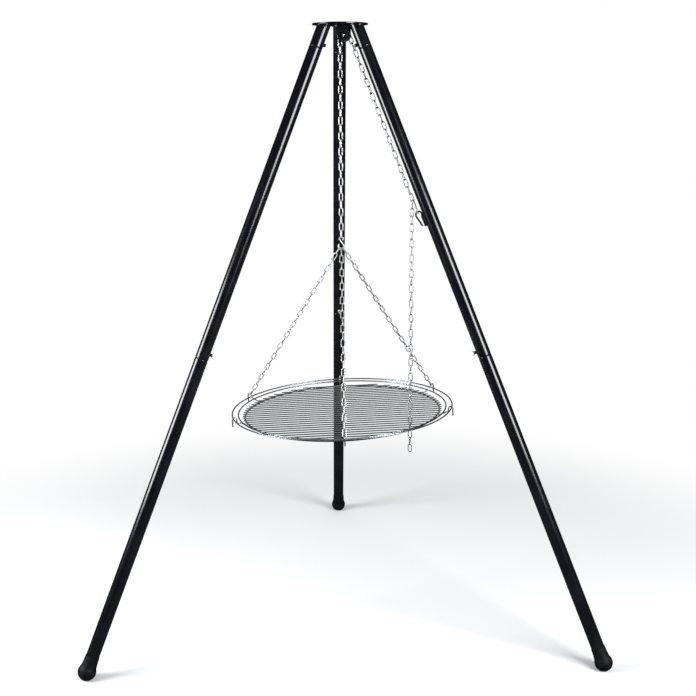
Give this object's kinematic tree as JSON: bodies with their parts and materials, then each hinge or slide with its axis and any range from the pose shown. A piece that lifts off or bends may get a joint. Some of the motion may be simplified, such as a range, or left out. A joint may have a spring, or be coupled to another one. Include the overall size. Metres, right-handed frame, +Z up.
{
  "type": "tripod swing grill",
  "caption": "Free-standing tripod that hangs a round wire grate from a chain over a pulley, raised by hooking the chain on a leg.",
  "frame": {"origin": "middle of the footprint on the ground, below the overall box's centre; the tripod's own axis is 211 mm in front of it, at y = -0.2112", "axes": "+Z up, -Y towards the viewer between the two front legs, +X towards the leg with the chain hook"},
  "size_m": [1.5148, 1.319, 1.8],
  "materials": {
    "axle_bolt": "bright zinc plate",
    "axle_nut": "bright zinc plate",
    "axle_washer": "gloss black",
    "boss_stub_back": "gloss black",
    "boss_stub_left": "gloss black",
    "boss_stub_right": "gloss black",
    "boss_tube_back": "gloss black",
    "boss_tube_left": "gloss black",
    "boss_tube_right": "gloss black",
    "clamp_screw_stub_back": "bright zinc plate",
    "clamp_screw_stub_left": "bright zinc plate",
    "clamp_screw_stub_right": "bright zinc plate",
    "clamp_screw_tube_back": "bright zinc plate",
    "clamp_screw_tube_left": "bright zinc plate",
    "clamp_screw_tube_right": "bright zinc plate",
    "edge_ring": "bright drawn wire",
    "foot_back": "matt black",
    "foot_left": "matt black",
    "foot_right": "matt black",
    "grate_bars": "bright drawn wire",
    "head_plate": "gloss black",
    "hook_link": "bright zinc plate",
    "hook_strip": "gloss black",
    "leg_hook": "gloss black",
    "load_chain": "bright zinc plate",
    "load_link_bottom": "bright zinc plate",
    "load_link_top": "bright zinc plate",
    "lower_tube_back": "gloss black",
    "lower_tube_left": "gloss black",
    "lower_tube_right": "gloss black",
    "pull_chain": "bright zinc plate",
    "pulley_bracket": "gloss black",
    "rim_ring_middle": "bright drawn wire",
    "rim_ring_top": "bright drawn wire",
    "s_hook": "bright zinc plate",
    "sheave": "bright zinc plate",
    "stub_back": "gloss black",
    "stub_left": "gloss black",
    "stub_right": "gloss black",
    "sub_chain_front": "bright zinc plate",
    "sub_chain_left": "bright zinc plate",
    "sub_chain_right": "bright zinc plate",
    "tail_chain": "bright zinc plate",
    "tail_end_link": "bright zinc plate",
    "upper_tube_back": "gloss black",
    "upper_tube_left": "gloss black",
    "upper_tube_right": "gloss black",
    "upright_back": "bright drawn wire",
    "upright_chain_front": "bright drawn wire",
    "upright_chain_left": "bright drawn wire",
    "upright_chain_right": "bright drawn wire",
    "upright_front_left": "bright drawn wire",
    "upright_front_right": "bright drawn wire",
    "wrap_link_left": "bright zinc plate",
    "wrap_link_right": "bright zinc plate",
    "wrap_link_top": "bright zinc plate"
  },
  "bodies": {
    "head": {"head_plate": "head_plate", "stub_left": "stub_left", "stub_right": "stub_right", "stub_back": "stub_back", "boss_stub_left": "boss_stub_left", "boss_stub_right": "boss_stub_right", "boss_stub_back": "boss_stub_back", "pulley_bracket": "pulley_bracket", "axle_bolt": "axle_bolt", "axle_washer": "axle_washer", "axle_nut": "axle_nut", "wrap_link_left": "wrap_link_left", "wrap_link_top": "wrap_link_top", "wrap_link_right": "wrap_link_right", "pull_chain": "pull_chain", "hook_link": "hook_link", "tail_chain": "tail_chain", "upper_tube_right": "upper_tube_right", "boss_tube_right": "boss_tube_right", "hook_strip": "hook_strip", "leg_hook": "leg_hook"},
    "sheave": {"sheave": "sheave"},
    "swing_link": {"load_link_top": "load_link_top"},
    "load": {"load_chain": "load_chain"},
    "hoisted_link": {"load_link_bottom": "load_link_bottom"},
    "grate": {"s_hook": "s_hook", "sub_chain_left": "sub_chain_left", "sub_chain_right": "sub_chain_right", "sub_chain_front": "sub_chain_front", "edge_ring": "edge_ring", "grate_bars": "grate_bars", "rim_ring_middle": "rim_ring_middle", "rim_ring_top": "rim_ring_top", "upright_chain_left": "upright_chain_left", "upright_chain_right": "upright_chain_right", "upright_chain_front": "upright_chain_front", "upright_back": "upright_back", "upright_front_left": "upright_front_left", "upright_front_right": "upright_front_right"},
    "tail_end": {"tail_end_link": "tail_end_link"},
    "upper_leg_left": {"upper_tube_left": "upper_tube_left", "boss_tube_left": "boss_tube_left"},
    "upper_leg_back": {"upper_tube_back": "upper_tube_back", "boss_tube_back": "boss_tube_back"},
    "lower_leg_left": {"lower_tube_left": "lower_tube_left", "foot_left": "foot_left"},
    "screw_stub_left": {"clamp_screw_stub_left": "clamp_screw_stub_left"},
    "screw_tube_left": {"clamp_screw_tube_left": "clamp_screw_tube_left"},
    "lower_leg_right": {"lower_tube_right": "lower_tube_right", "foot_right": "foot_right"},
    "screw_stub_right": {"clamp_screw_stub_right": "clamp_screw_stub_right"},
    "screw_tube_right": {"clamp_screw_tube_right": "clamp_screw_tube_right"},
    "lower_leg_back": {"lower_tube_back": "lower_tube_back", "foot_back": "foot_back"},
    "screw_stub_back": {"clamp_screw_stub_back": "clamp_screw_stub_back"},
    "screw_tube_back": {"clamp_screw_tube_back": "clamp_screw_tube_back"}
  },
  "joints": [
    {"name": "sheave_spin", "type": "hinge", "parent": "head", "child": "sheave", "pos_m": [0.01189, -0.2151, 1.767], "axis": [0.309, 0.9511, 0], "continuous": true},
    {"name": "swing_side", "type": "hinge", "parent": "head", "child": "swing_link", "pos_m": [0, -0.21124, 1.759], "axis": [0.309, 0.9511, 0], "range_deg": [-4, 4]},
    {"name": "swing_front", "type": "hinge", "parent": "swing_link", "child": "load", "pos_m": [0, -0.21124, 1.7373], "axis": [0.9511, -0.309, 0], "range_deg": [-4, 4]},
    {"name": "hoist", "type": "slide", "parent": "load", "child": "hoisted_link", "axis": [0, 0, 1], "range_m": [-0.25, 0.15], "deforming": ["load_chain"]},
    {"name": "grate_turn", "type": "hinge", "parent": "hoisted_link", "child": "grate", "pos_m": [0, -0.21124, 1.1876], "axis": [0, 0, 1], "range_deg": [-36, 0]},
    {"name": "tail_draw", "type": "slide", "parent": "head", "child": "tail_end", "axis": [0, 0, 1], "range_m": [-0.15, 0.25], "deforming": ["tail_chain"]},
    {"name": "plug_upper_left", "type": "slide", "parent": "head", "child": "upper_leg_left", "axis": [-0.3534, -0.204, -0.913], "range_m": [0, 0.055]},
    {"name": "plug_lower_left", "type": "slide", "parent": "upper_leg_left", "child": "lower_leg_left", "axis": [-0.3534, -0.204, -0.913], "range_m": [0, 0.055]},
    {"name": "turn_screw_stub_left", "type": "hinge", "parent": "head", "child": "screw_stub_left", "pos_m": [-0.04885, -0.23944, 1.74021], "axis": [0.7907, 0.4565, -0.408], "continuous": true},
    {"name": "turn_screw_tube_left", "type": "hinge", "parent": "upper_leg_left", "child": "screw_tube_left", "pos_m": [-0.37926, -0.4302, 0.88659], "axis": [0.7907, 0.4565, -0.408], "continuous": true},
    {"name": "plug_lower_right", "type": "slide", "parent": "head", "child": "lower_leg_right", "axis": [0.3534, -0.204, -0.913], "range_m": [0, 0.055]},
    {"name": "turn_screw_stub_right", "type": "hinge", "parent": "head", "child": "screw_stub_right", "pos_m": [0.04885, -0.23944, 1.74021], "axis": [-0.7907, 0.4565, -0.408], "continuous": true},
    {"name": "turn_screw_tube_right", "type": "hinge", "parent": "head", "child": "screw_tube_right", "pos_m": [0.37926, -0.4302, 0.88659], "axis": [-0.7907, 0.4565, -0.408], "continuous": true},
    {"name": "plug_upper_back", "type": "slide", "parent": "head", "child": "upper_leg_back", "axis": [0, 0.408, -0.913], "range_m": [0, 0.055]},
    {"name": "plug_lower_back", "type": "slide", "parent": "upper_leg_back", "child": "lower_leg_back", "axis": [0, 0.408, -0.913], "range_m": [0, 0.055]},
    {"name": "turn_screw_stub_back", "type": "hinge", "parent": "head", "child": "screw_stub_back", "pos_m": [0, -0.15482, 1.74021], "axis": [0, -0.913, -0.408], "continuous": true},
    {"name": "turn_screw_tube_back", "type": "hinge", "parent": "upper_leg_back", "child": "screw_tube_back", "pos_m": [0, 0.2267, 0.88659], "axis": [0, -0.913, -0.408], "continuous": true}
  ],
  "couplings": [
    {"joint": "sheave_spin", "follows": "hoist", "rad_per_m": 80},
    {"joint": "tail_draw", "follows": "hoist", "ratio": -1}
  ]
}
